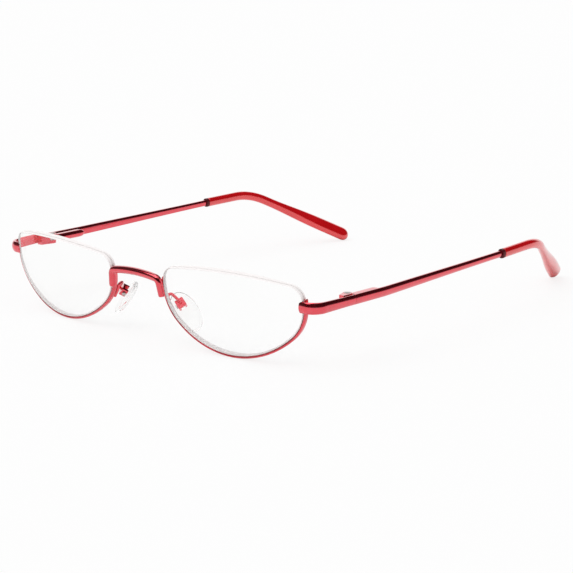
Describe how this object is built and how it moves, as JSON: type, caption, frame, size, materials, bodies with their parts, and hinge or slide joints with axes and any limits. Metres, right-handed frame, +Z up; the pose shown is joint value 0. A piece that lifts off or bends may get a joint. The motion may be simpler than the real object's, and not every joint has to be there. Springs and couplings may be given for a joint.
{
  "type": "reading glasses",
  "caption": "Half eye reading glasses with metal lower rims, saddle bridge, screwed nose pads, sprung folding temples and curved ear tips.",
  "frame": {"origin": "middle of the base: under the midplane, at half the overall length, on the level where the rims and ear tips rest", "axes": "+Y back from the lenses along the temples, +Z up, +X to the wearer's left"},
  "size_m": [0.1328, 0.1468, 0.0259],
  "materials": {
    "frame": "glossy metallic red plating",
    "lens": "clear polished plastic lens",
    "line": "clear nylon line",
    "pad": "clear soft silicone",
    "tip": "glossy translucent red plastic",
    "collar": "dark glossy ring",
    "screw": "plain small steel parts"
  },
  "bodies": {
    "front": {"bridge": "frame", "lens_left": "lens", "lens_right": "lens", "rim_left": "frame", "rim_right": "frame", "lens_line_left": "line", "lens_line_right": "line", "end_piece_left": "frame", "end_piece_right": "frame", "hinge_fork_left": "frame", "hinge_fork_right": "frame", "pad_arm_left": "frame", "pad_arm_right": "frame", "pad_box_left": "frame", "pad_box_right": "frame", "pad_screw_left": "screw", "pad_screw_right": "screw"},
    "screw_left": {"hinge_screw_left": "screw"},
    "slider_left": {"spring_slider_left": "screw", "slider_nut_left": "screw"},
    "temple_left": {"temple_left": "frame", "temple_tip_left": "tip", "tip_collar_left": "collar", "spring_housing_left": "frame", "spring_stop_left": "screw", "hinge_spring_left": "screw"},
    "pad_left": {"nose_pad_left": "pad"},
    "screw_right": {"hinge_screw_right": "screw"},
    "slider_right": {"spring_slider_right": "screw", "slider_nut_right": "screw"},
    "temple_right": {"temple_right": "frame", "temple_tip_right": "tip", "tip_collar_right": "collar", "spring_housing_right": "frame", "spring_stop_right": "screw", "hinge_spring_right": "screw"},
    "pad_right": {"nose_pad_right": "pad"}
  },
  "joints": [
    {"name": "flex_left", "type": "hinge", "parent": "front", "child": "screw_left", "pos_m": [0.0633, -0.05, 0.0181], "axis": [0, 0, 1], "range_deg": [-8, 0], "stiffness_Nm_per_rad": 0.5, "springref_deg": 2.86},
    {"name": "fold_left", "type": "hinge", "parent": "screw_left", "child": "slider_left", "pos_m": [0.0633, -0.05, 0.0181], "axis": [0, 0, 1], "range_deg": [0, 87]},
    {"name": "slide_left", "type": "slide", "parent": "slider_left", "child": "temple_left", "axis": [0, 1, 0], "range_m": [0, 0.0005], "deforming": ["hinge_spring_left"]},
    {"name": "pad_rock_left", "type": "hinge", "parent": "front", "child": "pad_left", "pos_m": [0.01201, -0.0659, 0.01079], "axis": [0.4912, 0.7071, 0.5086], "range_deg": [-8, 8]},
    {"name": "flex_right", "type": "hinge", "parent": "front", "child": "screw_right", "pos_m": [-0.0633, -0.05, 0.0181], "axis": [0, 0, -1], "range_deg": [-8, 0], "stiffness_Nm_per_rad": 0.5, "springref_deg": 2.86},
    {"name": "fold_right", "type": "hinge", "parent": "screw_right", "child": "slider_right", "pos_m": [-0.0633, -0.05, 0.0181], "axis": [0, 0, -1], "range_deg": [0, 80]},
    {"name": "slide_right", "type": "slide", "parent": "slider_right", "child": "temple_right", "axis": [0, 1, 0], "range_m": [0, 0.0005], "deforming": ["hinge_spring_right"]},
    {"name": "pad_rock_right", "type": "hinge", "parent": "front", "child": "pad_right", "pos_m": [-0.01201, -0.0659, 0.01079], "axis": [0.4912, -0.7071, -0.5086], "range_deg": [-8, 8]}
  ],
  "couplings": [
    {"joint": "slide_left", "follows": "flex_left", "m_per_rad": -0.0033},
    {"joint": "slide_right", "follows": "flex_right", "m_per_rad": -0.0033}
  ]
}
